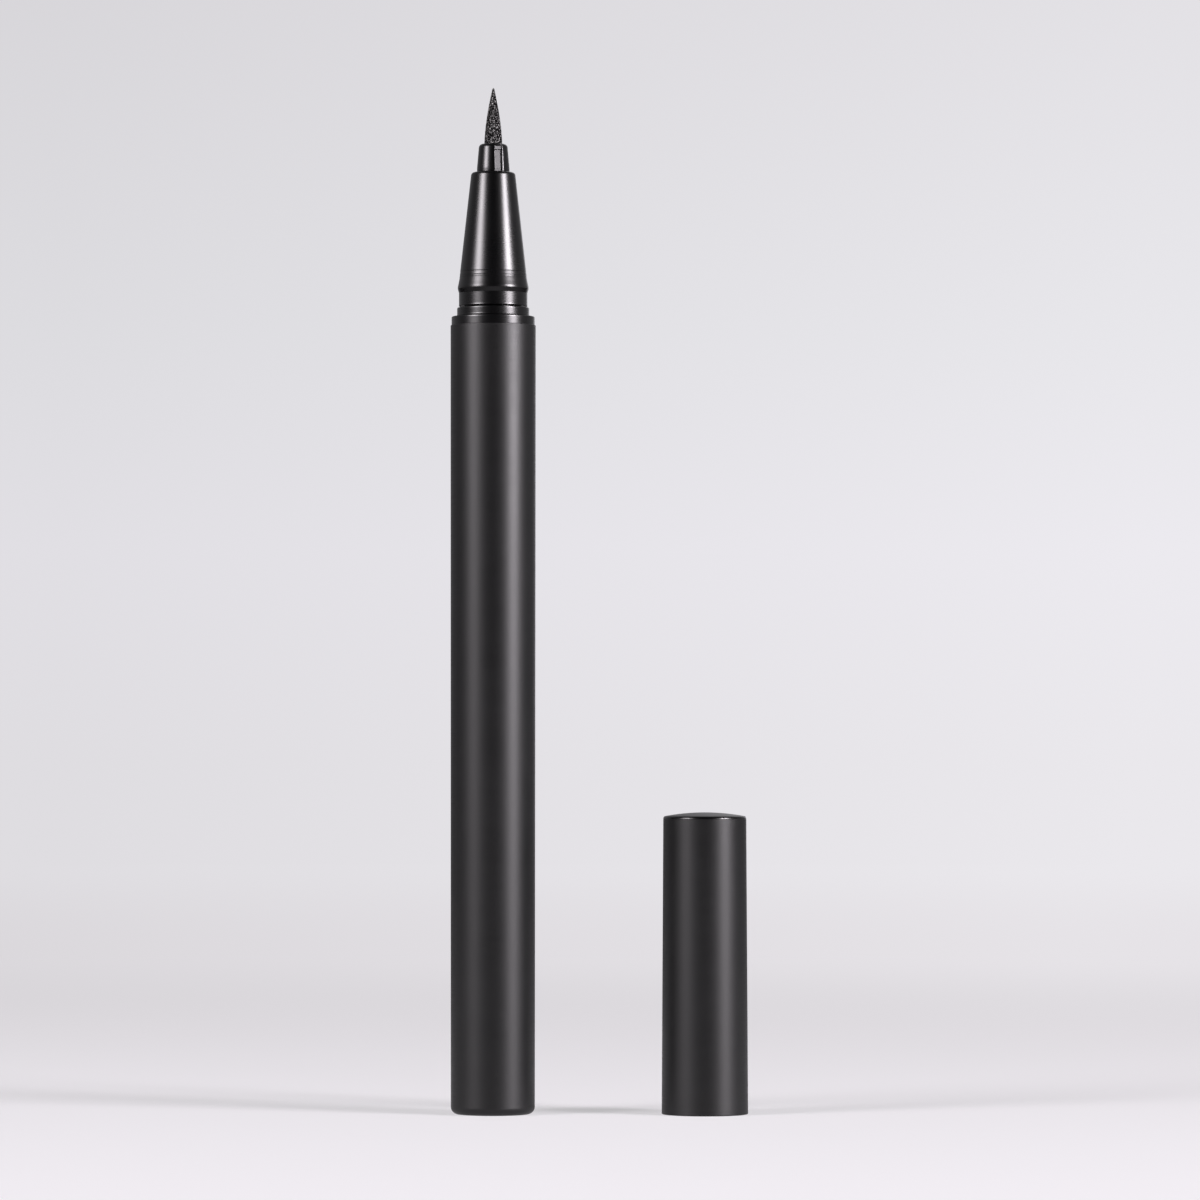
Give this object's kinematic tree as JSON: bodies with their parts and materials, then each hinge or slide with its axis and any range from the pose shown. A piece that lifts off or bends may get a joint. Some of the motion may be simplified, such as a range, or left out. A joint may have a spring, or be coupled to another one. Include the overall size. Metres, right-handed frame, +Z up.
{
  "type": "liquid eyeliner pen",
  "caption": "Slim liquid eyeliner pen standing on its closed end, felt tip up, with its domed cap taken off and standing open end down beside it.",
  "frame": {"origin": "on the pen's axis, on the flat closed end that the pen stands on", "axes": "+Z up along the pen towards the felt tip, +X from the pen to its cap"},
  "size_m": [0.0371, 0.0108, 0.1281],
  "materials": {
    "matt_black": "fine matt grain",
    "gloss_black": "polished",
    "black_felt": "ink-soaked felt",
    "fibre_rod": "bonded fibre",
    "natural_plastic": "as moulded",
    "steel": "bright"
  },
  "bodies": {
    "pen": {"barrel": "matt_black", "collar_bushing": "gloss_black", "nose_cone": "gloss_black", "tip_ferrule": "gloss_black", "felt_tip": "black_felt", "collector": "natural_plastic", "feed_rod": "fibre_rod", "partition_plug": "natural_plastic"},
    "ball": {"agitator_ball": "steel"},
    "cap": {"cap_shell": "matt_black", "cap_spring": "steel"},
    "seal": {"inner_cap": "natural_plastic"}
  },
  "joints": [
    {"name": "cap_path", "type": "slide", "parent": "pen", "child": "cap", "axis": [-0.15, 0, 0.9887], "range_m": [0, 0.17599]},
    {"name": "inner_cap_travel", "type": "slide", "parent": "cap", "child": "seal", "axis": [0, 0, 1], "range_m": [0, 0.003], "stiffness_N_per_m": 300, "deforming": ["cap_spring"]},
    {"name": "ball_travel", "type": "slide", "parent": "pen", "child": "ball", "axis": [0, 0, 1], "range_m": [0, 0.0525]}
  ]
}
